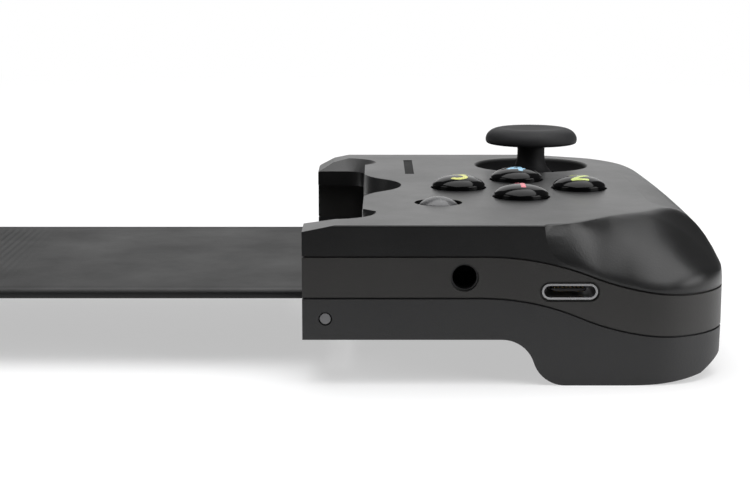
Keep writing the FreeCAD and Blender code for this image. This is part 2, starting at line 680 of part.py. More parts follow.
part(rod("hinge_pin", "pin_dia / 2", "grip_depth - 0.4", from_grip("hinge_in"), "0.2 - grip_depth / 2",
         "hinge_height", ALONG_Y), "right_hinge_pin")
knuckle = rod("knuckle", "knuckle_dia / 2", "strap_depth + 0.8", from_grip("hinge_in"), "-strap_depth / 2 - 0.4",
              "hinge_height", ALONG_Y)
TONGUE = ("leaf_reach + hinge_in", 39, 0.65, "grip_inner - leaf_reach", -29, "strap_bottom + 0.35")
tongue = box("tongue", *TONGUE)
knuckle_bore = rod("knuckle_bore", "pin_dia / 2 + pin_clear", "strap_depth + 4", from_grip("hinge_in"),
                   "-strap_depth / 2 - 2", "hinge_height", ALONG_Y)
part(cut("end_leaf", fuse("leaf_body", [knuckle, tongue]), [knuckle_bore]), "right_end_leaf")

STRAP_END = 0.6
FOLD_GAP = 0.1
FLEX = ("grip_inner + %s - %s" % (STRAP_END, FOLD_GAP), 11, 0.25, FOLD_GAP, 13, "strap_bottom + 0.55")
strap_plate = box("strap_plate", "grip_inner + %s - %s" % (STRAP_END, FOLD_GAP), "strap_depth",
                  "strap_top - strap_bottom", FOLD_GAP, "-strap_depth / 2", "strap_bottom")
part(cut("strap", strap_plate, [box("tongue_slot", *TONGUE), box("flex_slot", *FLEX)]), "right_strap_half")
part(box("flex", *FLEX), "right_flex")

# Screws

screws = []
inner_screws = screw_tools("inner_screw", INNER_SCREWS, INNER_HEAD, 9.0, INNER_HEAD - 0.7, 0.0)
outer_screws = screw_tools("outer_screw", OUTER_SCREWS, OUTER_HEAD, 9.0, OUTER_HEAD - 0.9, 0.0)
for index, pair in enumerate(inner_screws + outer_screws):
    screws.append(fuse("screw_%d" % index, list(pair)))
part(group("screws", screws), "right_case_screws")


# Keys, sticks and triggers

def new_sketch(body, role, name):
    """A sketch on one of the body's own origin planes."""
    sketch = body.newObject("Sketcher::SketchObject", name)
    plane = [feature for feature in body.Origin.OriginFeatures if feature.Role == role][0]
    sketch.AttachmentSupport = (plane, [""])
    sketch.MapMode = "FlatFace"
    return sketch


def sketch_arc(start, middle, end):
    """An arc for a sketch through three points, run anticlockwise as sketches expect."""
    circle = arc(start, middle, end).Curve
    centre = circle.Center
    if (middle - start).cross(end - middle).z < 0:
        start, end = end, start
    first = math.atan2(start.y - centre.y, start.x - centre.x)
    last = math.atan2(end.y - centre.y, end.x - centre.x)
    if last < first:
        last += 2 * math.pi
    return Part.ArcOfCircle(Part.Circle(centre, Vector(0, 0, 1), circle.Radius), first, last)


def draw(sketch, path, links=()):
    """Draws a closed path of points; a pair of points is an arc through the first to the second.

    A link binds the x or y of a corner to an expression in aliases."""
    flat = [step if isinstance(step[0], tuple) else (step,) for step in path]
    start = flat[-1][-1]
    for step in flat:
        end = step[-1]
        a, b = Vector(start[0], start[1], 0), Vector(end[0], end[1], 0)
        if len(step) == 2:
            sketch.addGeometry(sketch_arc(a, Vector(step[0][0], step[0][1], 0), b), False)
        else:
            sketch.addGeometry(Part.LineSegment(a, b), False)
        start = end
    count = len(flat)
    ends = []
    for index in range(count):
        geometry = sketch.Geometry[index]
        step = flat[index]
        here = Vector(step[-1][0], step[-1][1], 0)
        last = 2 if (geometry.EndPoint - here).Length < 1e-6 else 1
        ends.append((last, 3 - last))
    for index in range(count):
        following = (index + 1) % count
        sketch.addConstraint(Sketcher.Constraint("Coincident", index, ends[index][0],
                                                 following, ends[following][1]))
    for corner, way, expression in links:
        value = flat[corner][-1][0 if way == "X" else 1]
        kind = "DistanceX" if way == "X" else "DistanceY"
        number = sketch.addConstraint(Sketcher.Constraint(kind, -1, 1, corner, ends[corner][0], value))
        sketch.setExpression("Constraints[%d]" % number, linked(expression))


def turned(name, path, x, y, z, links=()):
    """A body turned about its upright axis from half a section."""
    body = doc.addObject("PartDesign::Body", name)
    sketch = new_sketch(body, "XZ_Plane", name + "_section")
    draw(sketch, path, links)
    revolution = body.newObject("PartDesign::Revolution", name + "_turned")
    revolution.Profile = sketch
    revolution.ReferenceAxis = (sketch, ["V_Axis"])
    revolution.Angle = 360
    doc.recompute()
    return place(body, x, y, z)


def crown_arc(rim_radius, rim_height, top_height):
    """An arc from a rim to the axis whose centre is on the axis, as a middle and an end."""
    rise = top_height - rim_height
    radius = (rim_radius ** 2 + rise ** 2) / (2 * rise)
    half = math.asin(rim_radius / abs(radius)) / 2
    centre = top_height - radius
    return (abs(radius) * math.sin(half), centre + radius * math.cos(half)), (0, top_height)


button_radius = size("button_dia") / 2
crown = size("button_crown")
BUTTON_RIM = 0.95
BUTTON_PATH = [
    (0, -4.5), (2.6, -4.5), (2.6, -3.15), (5.2, -3.15), (5.2, -2.25), (button_radius, -2.25),
    (button_radius, BUTTON_RIM), crown_arc(button_radius, BUTTON_RIM, crown),
]
for name, turn in BUTTON_TURNS.items():
    x, y = button_place(turn)
    part(turned(name + "_body", BUTTON_PATH, x, y, "grip_top", [(5, "X", "button_dia / 2")]), name)

small_radius = size("small_dia") / 2
small_crown = size("small_crown")
SMALL_PATH = [
    (0, -5.2), (1.8, -5.2), (1.8, -3.05), (3.9, -3.05), (3.9, -2.25), (small_radius, -2.25),
    (small_radius, 0.15), crown_arc(small_radius, 0.15, small_crown),
]
part(turned("small_button", SMALL_PATH, from_grip("small_in"), "small_y", "grip_top",
            [(5, "X", "small_dia / 2")]), "right_small_button")

stem = size("stem_dia") / 2
skirt = size("skirt_radius")
SKIRT_WALL = 0.6
SKIRT_ANGLE = math.radians(55)
cap_low = size("cap_low") - size("stick_pivot")
cap_high = size("cap_high") - size("stick_pivot")


def on_sphere(radius, angle):
    return radius * math.sin(angle), radius * math.cos(angle)


def sphere_arc(radius, first, last):
    """An arc about the pivot from one angle to another, as a middle and an end."""
    return on_sphere(radius, (first + last) / 2), on_sphere(radius, last)


shaft = 1.5
inner_skirt = skirt - SKIRT_WALL
shaft_angle = math.asin(shaft / inner_skirt)
stem_angle = math.asin(stem / skirt)
STEM_PATH = [
    (0, -2.6), (shaft, -2.6), on_sphere(inner_skirt, shaft_angle),
    sphere_arc(inner_skirt, shaft_angle, SKIRT_ANGLE), on_sphere(skirt, SKIRT_ANGLE),
    sphere_arc(skirt, SKIRT_ANGLE, stem_angle), (stem, cap_low + 1.8), (0, cap_low + 1.8),
]
stem_body = turned("stem_turned", STEM_PATH, STICK_X, "stick_y", "stick_pivot")
cross_pin = rod("cross_pin", 0.6, 6.2, STICK_X, "stick_y - 3.1", "stick_pivot", ALONG_Y)
part(fuse("stick_stem", [stem_body, cross_pin]), "right_stick_stem")

cap = size("cap_dia") / 2
CAP_PATH = [
    (stem, cap_low + 1.8), (stem, cap_low - 0.8), (stem + 0.5, cap_low - 0.8), (stem + 0.8, cap_low),
    (stem + 2.2, cap_low + 0.7), (cap - 0.8, cap_low), (cap - 0.2, cap_low + 0.15), (cap, cap_low + 0.7),
    ((cap - 0.78, cap_low + 2.3), (cap - 2.7, cap_high)),
    crown_arc(cap - 2.7, cap_high, cap_high - 0.4), (0, cap_low + 1.8),
]
part(turned("stick_cap", CAP_PATH, STICK_X, "stick_y", "stick_pivot"), "right_stick_cap")

gimbal_frame = box("gimbal_frame", 8.4, 6.4, 2.6, "grip_inner + stick_in - 4.2", "stick_y - 3.2",
                   "stick_pivot - 1.3")
gimbal_slot = box("gimbal_slot", 5.2, 3.2, 4, "grip_inner + stick_in - 2.6", "stick_y - 1.6", "stick_pivot - 2")
gimbal_bore = rod("gimbal_bore", 0.65, 8, STICK_X, "stick_y - 4", "stick_pivot", ALONG_Y)
trunnions = [
    rod("trunnion_%d" % index, 1.0, 2.0, "grip_inner + stick_in + %s" % start, "stick_y", "stick_pivot", ALONG_X)
    for index, start in enumerate((-6.0, 4.0))
]
gimbal_block = cut("gimbal_block", gimbal_frame, [gimbal_slot, gimbal_bore])
part(fuse("gimbal", [gimbal_block] + trunnions), "right_stick_gimbal")

MODULE_FLOOR = 1.6
module_block = box("module_block", "module_side", "module_side", "stick_pivot + 2 - board_bottom - board_thick",
                   "grip_inner + stick_in - module_side / 2", "stick_y - module_side / 2",
                   "board_bottom + board_thick")
module_room = box("module_room", "module_side - 3.8", "module_side - 3.8", 10,
                  "grip_inner + stick_in - module_side / 2 + 1.9", "stick_y - module_side / 2 + 1.9",
                  "board_bottom + board_thick + %s" % MODULE_FLOOR)
trunnion_bore = rod("trunnion_bore", 1.05, "module_side + 2", "grip_inner + stick_in - module_side / 2 - 1",
                    "stick_y", "stick_pivot", ALONG_X)
part(cut("stick_module", module_block, [module_room, trunnion_bore]), "right_stick_module")

bumper_box = box("bumper_box", "shoulder_width", 20, "bumper_high - bumper_low", from_grip("shoulder_in"),
                 "bumper_back + 1", "bumper_low")
part(common("bumper", [full_form, bumper_box]), "right_bumper")

pivot_y = size("trigger_pivot_y")
pivot_z = size("trigger_pivot")
barrel = size("trigger_barrel")
TRIGGER_PATH = [
    (pivot_y, pivot_z + barrel), (42.2, 13.3), ((44.1, 12.6), (44.8, 11.0)), ((45.6, 7.4), (47.2, 4.0)),
    ((47.1, 3.2), (46.2, 3.2)), ((43.4, 5.6), (41.8, 8.6)), (pivot_y + 0.4, pivot_z - barrel),
    ((pivot_y - barrel, pivot_z), (pivot_y, pivot_z + barrel)),
][1:]
trigger = doc.addObject("PartDesign::Body", "trigger")
trigger_section = new_sketch(trigger, "YZ_Plane", "trigger_section")
draw(trigger_section, TRIGGER_PATH)
trigger_pad = trigger.newObject("PartDesign::Pad", "trigger_pad")
trigger_pad.Profile = trigger_section
bind(trigger_pad, Length="shoulder_width - 2 * bumper_gap")
doc.recompute()
bore_sketch = new_sketch(trigger, "YZ_Plane", "trigger_bore_section")
bore_sketch.addGeometry(Part.Circle(Vector(pivot_y, pivot_z, 0), Vector(0, 0, 1),
                                    size("trigger_pin_dia") / 2 + size("pin_clear")), False)
trigger_hole = trigger.newObject("PartDesign::Pocket", "trigger_hole")
trigger_hole.Profile = bore_sketch
trigger_hole.Type = 1
trigger_hole.Reversed = True
place(trigger, from_grip("shoulder_in + bumper_gap"))
part(trigger, "right_trigger")
part(rod("trigger_pin", "trigger_pin_dia / 2", "shoulder_width + 4.6", from_grip("shoulder_in - 2.3"),
         "trigger_pivot_y", "trigger_pivot", ALONG_X), "right_trigger_pin")

# Directional pad, rocking on a small ball

BALL = 1.5
FULCRUM = "mat_board + mat_board_thick + %s" % BALL
span = size("pad_span") / 2
arm = size("pad_arm") / 2


def cross(reach, half):
    """The twelve corners of a cross, from its arms' reach and half their width."""
    corners = []
    for sign_x, sign_y in ((1, 1), (-1, 1), (-1, -1), (1, -1)):
        outer = [(reach * sign_x, half * sign_y), (half * sign_x, half * sign_y), (half * sign_x, reach * sign_y)]
        corners += outer if sign_x * sign_y > 0 else outer[::-1]
    return corners


pad_body = doc.addObject("PartDesign::Body", "pad_body")
pad_sketch = new_sketch(pad_body, "XY_Plane", "pad_cross")
draw(pad_sketch, cross(span, arm), [(0, "X", "pad_span / 2"), (0, "Y", "pad_arm / 2")])
pad_pad = pad_body.newObject("PartDesign::Pad", "pad_height")
pad_pad.Profile = pad_sketch
bind(pad_pad, Length="pad_crown + 4.4")
doc.recompute()
top_edges = ["Edge%d" % index for index, edge in enumerate(pad_pad.Shape.Edges, start=1)
             if all(abs(vertex.Z - pad_pad.Shape.BoundBox.ZMax) < 1e-5 for vertex in edge.Vertexes)]
pad_fillet = pad_body.newObject("PartDesign::Fillet", "pad_soft_edge")
pad_fillet.Base = (pad_pad, top_edges)
pad_fillet.Radius = 0.6
doc.recompute()
place(pad_body, PAD_X, "buttons_y", "grip_top - 4.4")
pad_flange = [
    box("pad_flange_across", "pad_span + 0.8", "pad_arm + 0.8", 0.9, PAD_X + " - pad_span / 2 - 0.4",
        "buttons_y - pad_arm / 2 - 0.4", "grip_top - 4.4"),
    box("pad_flange_along", "pad_arm + 0.8", "pad_span + 0.8", 0.9, PAD_X + " - pad_arm / 2 - 0.4",
        "buttons_y - pad_span / 2 - 0.4", "grip_top - 4.4"),
]
pad_boss = rod("pad_boss", 2.6, 1.0, PAD_X, "buttons_y", FULCRUM + " + 0.4")
cup = doc.addObject("Part::Sphere", "cup")
cup.Radius = BALL + 0.05
place(cup, PAD_X, "buttons_y", FULCRUM)
dimple = doc.addObject("Part::Sphere", "dimple")
dimple.Radius = 9.0
place(dimple, PAD_X, "buttons_y", "grip_top + pad_crown + 8.3")
part(cut("pad", fuse("pad_whole", [pad_body, pad_boss] + pad_flange), [cup, dimple]), "d_pad")
ball = doc.addObject("Part::Sphere", "ball")
ball.Radius = BALL
part(place(ball, PAD_X, "buttons_y", FULCRUM), "d_pad_fulcrum")

# The left side repeats the right side's pieces

TWINS = [
    "bottom_shell", "main_board", "button_board", "cradle_pad", "hinge_pin", "end_leaf", "strap_half", "flex",
    "case_screws", "small_button", "stick_stem", "stick_cap", "stick_gimbal", "stick_module", "bumper",
    "trigger", "trigger_pin",
]
doc.recompute()
by_label = {thing.Label: thing for thing in PARTS}
for twin in TWINS:
    part(mirrored("left_" + twin + "_twin", by_label["right_" + twin]), "left_" + twin)

doc.recompute()
failed = [thing.Label for thing in doc.Objects if {"Invalid", "Error"} & set(thing.State)]
for thing in PARTS:
    shape = thing.Shape
    if shape.isNull() or not shape.isValid():
        failed.append(thing.Label)
    solids = len(shape.Solids)
    print("%-20s solids %d volume %.1f faces %d" % (thing.Label, solids, shape.Volume, len(shape.Faces)))
if failed:
    raise RuntimeError("not sound: " + ", ".join(failed))

os.makedirs("parts", exist_ok=True)
for thing in PARTS:
    thing.Shape.exportStep("parts/%s.step" % thing.Label)
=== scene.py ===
import math

import bmesh
import bpy
import numpy as np
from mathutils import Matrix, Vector


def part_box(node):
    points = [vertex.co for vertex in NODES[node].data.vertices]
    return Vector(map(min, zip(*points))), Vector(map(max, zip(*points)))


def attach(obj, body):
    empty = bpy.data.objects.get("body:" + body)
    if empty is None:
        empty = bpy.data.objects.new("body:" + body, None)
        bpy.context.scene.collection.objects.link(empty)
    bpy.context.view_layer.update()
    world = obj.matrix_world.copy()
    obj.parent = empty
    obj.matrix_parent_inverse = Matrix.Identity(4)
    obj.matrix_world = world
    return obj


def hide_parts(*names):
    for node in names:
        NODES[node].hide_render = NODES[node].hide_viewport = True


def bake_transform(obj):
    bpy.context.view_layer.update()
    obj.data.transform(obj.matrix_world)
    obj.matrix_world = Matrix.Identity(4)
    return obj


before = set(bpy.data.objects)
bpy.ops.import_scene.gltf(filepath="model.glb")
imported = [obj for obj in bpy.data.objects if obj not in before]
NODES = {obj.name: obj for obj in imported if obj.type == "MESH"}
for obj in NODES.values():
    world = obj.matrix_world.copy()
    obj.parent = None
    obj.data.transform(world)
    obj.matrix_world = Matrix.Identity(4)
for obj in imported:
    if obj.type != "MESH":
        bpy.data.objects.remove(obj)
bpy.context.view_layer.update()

MM = 0.001
MERGE = 2e-7
GRIP_IN = 55.5

# Camera: low in front of the near edge of the right grip, tipped a little down
CAMERA_PLACE = Vector((66.24, -287.74, 64.97)) * MM
CAMERA_PITCH = math.radians(10.27)
CAMERA_LENS = 81.94

# Studio, in metres: zones and edges are where one level gives way to the next
FLOOR_HALF = 6.0
FLOOR_COLOUR = (0.93, 0.93, 0.935, 1)
FLOOR_ROUGH = 0.9
FLOOR_SPECULAR = 0.1
SHADOW_ZONE = (0.17, 0.55)
FLOOR_GLOW = 0.5
FRONT_DIM = 0.85
FRONT_EDGE = (-0.12, -0.06)
AMBIENT = 0.55
FRONT_LEVEL = 0.10
RIGHT_LEVEL = 1.2
BACK_EDGE = (-0.35, 0.45)
TOP_EDGE = (0.35, 0.95)
RIGHT_EDGE = (0.05, 0.7)

# Soft square lamps: place, aim, side in metres and power in watts
LAMPS = {
    "overhead_lamp": ((0.12, 0.02, 0.95), (0.08, 0.0, 0.0), 1.2, 14.0),
    "back_lamp": ((0.10, 0.95, 0.45), (0.06, 0.0, 0.02), 0.8, 2.0),
    "left_lamp": ((-0.95, -0.30, 0.55), (0.06, 0.0, 0.02), 0.6, 2.0),
    "right_lamp": ((0.95, -0.40, 0.40), (0.10, 0.0, 0.02), 0.7, 6.0),
}


# Nodes of a material

# Sockets of a Mix node for each kind of value: its two inputs and its output
MIX_FLOAT = (2, 3, 0)
MIX_VECTOR = (4, 5, 1)
MIX_COLOUR = (6, 7, 2)


def material(name):
    """An empty node material with its shader and its output."""
    made = bpy.data.materials.new(name)
    made.use_nodes = True
    return made


def add(made, kind, **values):
    """Adds a node; each value is an attribute of the node or one of its sockets by name."""
    node = made.node_tree.nodes.new(kind)
    for key, value in values.items():
        if hasattr(node, key):
            setattr(node, key, value)
        else:
            node.inputs[key.replace("_", " ").title()].default_value = value
    return node


def link(made, source, output, target, socket):
    made.node_tree.links.new(source.outputs[output], target.inputs[socket])


def shader_of(made):
    return made.node_tree.nodes["Principled BSDF"]


def object_noise(made, size_mm, detail, roughness):
    """Noise over the piece's own coordinates whose patches are about size_mm across."""
    where = add(made, "ShaderNodeTexCoord")
    noise = add(made, "ShaderNodeTexNoise", Scale=1 / (size_mm * MM), Detail=detail, Roughness=roughness)
    link(made, where, "Object", noise, "Vector")
    return noise


def spread(made, source, output, low, high, start=0.3, end=0.7):
    """Maps a texture's middle range on to low..high."""
    mapped = add(made, "ShaderNodeMapRange")
    mapped.inputs["From Min"].default_value = start
    mapped.inputs["From Max"].default_value = end
    mapped.inputs["To Min"].default_value = low
    mapped.inputs["To Max"].default_value = high
    link(made, source, output, mapped, "Value")
    return mapped


def tinted(made, source, output, dark, light):
    """Mixes two colours by a texture and sends the mix to the base colour."""
    first, second, result = MIX_COLOUR
    mixed = add(made, "ShaderNodeMix", data_type="RGBA")
    mixed.inputs[first].default_value = (*dark, 1)
    mixed.inputs[second].default_value = (*light, 1)
    link(made, source, output, mixed, 0)
    link(made, mixed, result, shader_of(made), "Base Color")


def bumped(made, source, output, depth_mm):
    """Raises the surface by a texture, as much as depth_mm."""
    bump = add(made, "ShaderNodeBump", Strength=1.0)
    bump.inputs["Distance"].default_value = depth_mm * MM
    link(made, source, output, bump, "Height")
    link(made, bump, "Normal", shader_of(made), "Normal")


HANDLING_MM = 14.0


def moulded(name, dark, light, rough, grain_mm, grain_depth, specular=0.5):
    """Moulded plastic: spark-eroded grain, a little uneven in colour and in gloss from handling."""
    made = material(name)
    shader = shader_of(made)
    shader.inputs["Specular IOR Level"].default_value = specular
    cloud = object_noise(made, HANDLING_MM, 4.0, 0.6)
    tinted(made, cloud, "Fac", dark, light)
    gloss = spread(made, cloud, "Fac", rough[0], rough[1])
    link(made, gloss, "Result", shader, "Roughness")
    grain = object_noise(made, grain_mm, 2.0, 0.6)
    bumped(made, grain, "Fac", grain_depth)
    return made


# Stick dishes, in millimetres: their middle in each grip, and the radii between which the dull finish ends
DISH_PLACE = (95.1, 26.5)
DISH_ZONE = (9.9, 10.5)
DISH_ROUGH = 0.8
DISH_SPECULAR = 0.03


def dull_round(made, centres, start, end, rough, specular):
    """Makes the finish duller near upright axes: full at the start radius, none at the end radius."""
    shader = shader_of(made)
    where = add(made, "ShaderNodeTexCoord")
    nearest = None
    for x, y in centres:
        offset = add(made, "ShaderNodeVectorMath", operation="SUBTRACT")
        offset.inputs[1].default_value = (x * MM, y * MM, 0)
        link(made, where, "Object", offset, 0)
        flat = add(made, "ShaderNodeVectorMath", operation="MULTIPLY")
        flat.inputs[1].default_value = (1, 1, 0)
        link(made, offset, "Vector", flat, 0)
        length = add(made, "ShaderNodeVectorMath", operation="LENGTH")
        link(made, flat, "Vector", length, 0)
        if nearest is None:
            nearest = length.outputs["Value"]
        else:
            least = add(made, "ShaderNodeMath", operation="MINIMUM")
            made.node_tree.links.new(nearest, least.inputs[0])
            made.node_tree.links.new(length.outputs["Value"], least.inputs[1])
            nearest = least.outputs["Value"]
    inside = add(made, "ShaderNodeMapRange")
    inside.inputs["From Min"].default_value = end * MM
    inside.inputs["From Max"].default_value = start * MM
    made.node_tree.links.new(nearest, inside.inputs["Value"])
    first, second, result = MIX_FLOAT
    before = shader.inputs["Roughness"].links[0].from_socket
    mixed = add(made, "ShaderNodeMix", data_type="FLOAT")
    made.node_tree.links.new(before, mixed.inputs[first])
    mixed.inputs[second].default_value = rough
    link(made, inside, "Result", mixed, 0)
    link(made, mixed, result, shader, "Roughness")
    full = shader.inputs["Specular IOR Level"].default_value
    fade = spread(made, inside, "Result", full, specular, 0.0, 1.0)
    link(made, fade, "Result", shader, "Specular IOR Level")


# Near corners of the grips, in millimetres: how far their ridge is softened, and the zone where that begins
RIDGE_REACH = 2.4
RIDGE_OUTER_ZONE = (93.0, 98.0)
RIDGE_NEAR_ZONE = (-20.0, -12.0)


def softened(made):
    """Softens the ridge of each near corner: the normal turns over RIDGE_REACH there, and nowhere else."""
    where = add(made, "ShaderNodeTexCoord")
    place = add(made, "ShaderNodeSeparateXYZ")
    link(made, where, "Object", place, "Vector")
    out = add(made, "ShaderNodeMath", operation="ABSOLUTE")
    link(made, place, "X", out, 0)
    outer = spread(made, out, "Value", 0.0, 1.0, *[edge * MM for edge in RIDGE_OUTER_ZONE])
    near = spread(made, place, "Y", 1.0, 0.0, *[edge * MM for edge in RIDGE_NEAR_ZONE])
    share = add(made, "ShaderNodeMath", operation="MULTIPLY")
    link(made, outer, "Result", share, 0)
    link(made, near, "Result", share, 1)
    round_normal = add(made, "ShaderNodeBevel", samples=8)
    round_normal.inputs["Radius"].default_value = RIDGE_REACH * MM
    plain = add(made, "ShaderNodeNewGeometry")
    first, second, result = MIX_VECTOR
    mixed = add(made, "ShaderNodeMix", data_type="VECTOR")
    link(made, share, "Value", mixed, 0)
    link(made, plain, "Normal", mixed, first)
    link(made, round_normal, "Normal", mixed, second)
    bump = shader_of(made).inputs["Normal"].links[0].from_node
    link(made, mixed, result, bump, "Normal")


def paint(made, *names):
    """Gives CAD nodes a material."""
    for name in names:
        data = NODES[name].data
        data.materials.clear()
        data.materials.append(made)


def both(name):
    return "right_" + name, "left_" + name


# Finishes

SHELL = moulded(
    "satin_black_housing", (0.006, 0.006, 0.0062), (0.009, 0.009, 0.0093), (0.31, 0.38), 0.32, 0.018, 0.42)
BAND = moulded(
    "warm_black_band", (0.022, 0.021, 0.020), (0.027, 0.026, 0.025), (0.40, 0.48), 0.32, 0.016, 0.4)
SOLE = moulded(
    "matte_black_palm", (0.018, 0.018, 0.0185), (0.023, 0.023, 0.0235), (0.44, 0.54), 0.35, 0.022, 0.4)
RUBBER = moulded(
    "stick_rubber", (0.010, 0.010, 0.011), (0.014, 0.014, 0.0155), (0.58, 0.70), 0.5, 0.02, 0.3)
KEY = moulded(
    "gloss_black_key", (0.003, 0.003, 0.0032), (0.004, 0.004, 0.0043), (0.08, 0.12), 3.0, 0.002, 0.16)
LENS = moulded("smoked_lens", (0.002, 0.002, 0.002), (0.003, 0.003, 0.003), (0.5, 0.6), 0.5, 0.002, 0.05)
SILVER = moulded("silver_key", (0.06, 0.06, 0.0625), (0.08, 0.08, 0.083), (0.26, 0.34), 0.3, 0.006)
STEEL = moulded("bright_steel", (0.55, 0.55, 0.56), (0.65, 0.65, 0.66), (0.22, 0.32), 0.4, 0.004)
PIN = moulded("dull_steel", (0.20, 0.20, 0.205), (0.26, 0.26, 0.265), (0.36, 0.46), 0.4, 0.004)
BOARD = moulded("green_board", (0.02, 0.10, 0.05), (0.03, 0.14, 0.07), (0.3, 0.4), 1.0, 0.01)
MAT = moulded("gray_silicone", (0.40, 0.40, 0.41), (0.46, 0.46, 0.47), (0.5, 0.6), 0.6, 0.01)
WHITE = moulded("white_plastic", (0.62, 0.62, 0.63), (0.68, 0.68, 0.69), (0.3, 0.4), 0.5, 0.006)
DARK = moulded("black_plastic", (0.014, 0.014, 0.0145), (0.02, 0.02, 0.0205), (0.3, 0.4), 0.5, 0.008)
STRAP = moulded(
    "strap_rubber", (0.005, 0.005, 0.0052), (0.008, 0.008, 0.0083), (0.50, 0.62), 0.4, 0.02, 0.3)
FLEX = moulded("amber_film", (0.45, 0.22, 0.05), (0.5, 0.27, 0.07), (0.25, 0.35), 2.0, 0.004)
GOLD = moulded("gold_contact", (0.70, 0.48, 0.18), (0.78, 0.55, 0.22), (0.22, 0.30), 0.4, 0.003)
MARKS = moulded("gray_print", (0.20, 0.20, 0.205), (0.24, 0.24, 0.245), (0.35, 0.45), 0.5, 0.004)
DIGIT_FINISHES = {
    "near": moulded("rose_print", (0.62, 0.13, 0.17), (0.70, 0.17, 0.21), (0.25, 0.35), 0.5, 0.003),
    "right": moulded("lime_print", (0.46, 0.55, 0.12), (0.52, 0.62, 0.15), (0.25, 0.35), 0.5, 0.003),
    "left": moulded("yellow_print", (0.55, 0.56, 0.13), (0.62, 0.63, 0.16), (0.25, 0.35), 0.5, 0.003),
    "far": moulded("sky_print", (0.25, 0.48, 0.66), (0.30, 0.55, 0.74), (0.25, 0.35), 0.5, 0.003),
}
for metal in (STEEL, PIN, GOLD):
    shader_of(metal).inputs["Metallic"].default_value = 1.0

softened(SHELL)
dull_round(SHELL, [DISH_PLACE, (-DISH_PLACE[0], DISH_PLACE[1])], *DISH_ZONE, DISH_ROUGH, DISH_SPECULAR)
paint(SHELL, *both("top_shell"))
paint(BAND, *both("mid_band"))
paint(SOLE, *both("bottom_shell"))
paint(BOARD, *both("main_board"), *both("button_board"))
paint(MAT, *both("membrane"))
paint(RUBBER, *both("stick_cap"), *both("cradle_pad"))
paint(DARK, *both("stick_stem"), *both("stick_module"), *both("end_leaf"), "headphone_jack")
paint(LENS, "indicator_lens")
paint(WHITE, *both("stick_gimbal"), "phone_plug")
paint(KEY, "near_button", "far_button", "left_button", "right_button", "d_pad")
paint(KEY, *both("bumper"), *both("trigger"))
paint(SILVER, *both("small_button"))
paint(STEEL, "charge_port", "d_pad_fulcrum", *both("case_screws"))
paint(PIN, *both("hinge_pin"), *both("trigger_pin"))
paint(STRAP, *both("strap_half"))
paint(FLEX, *both("flex"))


# Surfaces computed on grids

def skin(name, grids, finish):
    """One closed mesh over grids of points: a grid's rows run from end to end, and its columns go round."""
    corners = []
    quads = []
    used = 0
    for grid in grids:
        rows, columns, _ = grid.shape
        index = np.arange(rows * columns).reshape(rows, columns) + used
        here = index[:-1]
        beyond = index[1:]
        ring = np.stack([here, np.roll(here, -1, 1), np.roll(beyond, -1, 1), beyond], -1)
        quads.append(ring.reshape(-1, 4))
        corners.append(grid.reshape(-1, 3))
        used += rows * columns
    corners = np.concatenate(corners) * MM
    quads = np.concatenate(quads)
    mesh = bpy.data.meshes.new(name)
    mesh.vertices.add(len(corners))
    mesh.vertices.foreach_set("co", corners.ravel())
    mesh.loops.add(quads.size)
    mesh.loops.foreach_set("vertex_index", quads.ravel())
    mesh.polygons.add(len(quads))
    mesh.polygons.foreach_set("loop_start", np.arange(0, quads.size, 4))
    mesh.update(calc_edges=True)
    shell = bmesh.new()
    shell.from_mesh(mesh)
    bmesh.ops.remove_doubles(shell, verts=shell.verts, dist=MERGE)
    bmesh.ops.recalc_face_normals(shell, faces=shell.faces)
    shell.to_mesh(mesh)
    shell.free()
    mesh.polygons.foreach_set("use_smooth", np.full(len(mesh.polygons), True))
    mesh.materials.append(finish)
    piece = bpy.data.objects.new(name, mesh)
    bpy.context.scene.collection.objects.link(piece)
    return piece


def resampled(points, count):
    """A path through points, sampled at even steps along its length."""
    points = np.asarray(points, float)
    steps = np.linalg.norm(np.diff(points, axis=0), axis=1)
    length = np.concatenate([[0.0], np.cumsum(steps)])
    where = np.linspace(0.0, length[-1], count)
    return np.stack([np.interp(where, length, points[:, axis]) for axis in range(points.shape[1])], 1)


def arc_points(centre, radius, first, last, count=24):
    """Points round a centre from one angle in degrees to another."""
    angle = np.radians(np.linspace(first, last, count))
    return np.stack([centre[0] + radius * np.cos(angle), centre[1] + radius * np.sin(angle)], 1)


def turned(profile, centre, columns, lift=None):
    """A surface of revolution: each profile point (radius, height) goes once round the upright axis
    at centre. lift, where given, adds to the height by a function of radius, angle and height."""
    angle = np.linspace(0, 2 * np.pi, columns, endpoint=False)[None, :]
    radius = profile[:, 0][:, None]
    height = profile[:, 1][:, None]
    level = height + (lift(radius, angle, height) if lift else 0.0) + 0.0 * angle
    return np.stack([
        centre[0] + radius * np.cos(angle), centre[1] + radius * np.sin(angle), centre[2] + level,
    ], -1)


SLAB_POWER = 6.0
SLAB_CROWD = 1.6


def slab(centre, half, rows, columns):
    """A block with soft edges: a superellipse in plan and in section. Its rows crowd at top and bottom."""
    across = np.linspace(-1, 1, rows)
    across = np.sign(across) * (1 - (1 - np.abs(across)) ** SLAB_CROWD)
    shrink = (1 - np.abs(across) ** SLAB_POWER) ** (1 / SLAB_POWER)
    angle = np.linspace(0, 2 * np.pi, columns, endpoint=False)
    around = np.stack([
        np.sign(np.cos(angle)) * np.abs(np.cos(angle)) ** (2 / SLAB_POWER),
        np.sign(np.sin(angle)) * np.abs(np.sin(angle)) ** (2 / SLAB_POWER),
    ], -1)
    return np.stack([
        centre[0] + half[0] * shrink[:, None] * around[None, :, 0],
        centre[1] + half[1] * shrink[:, None] * around[None, :, 1],
        centre[2] + half[2] * across[:, None] + 0.0 * around[None, :, 0],
    ], -1)


def middle_of(node):
    """The middle of a node's box in millimetres."""
    low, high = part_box(node)
    return (np.array(low) + np.array(high)) / 2 / MM


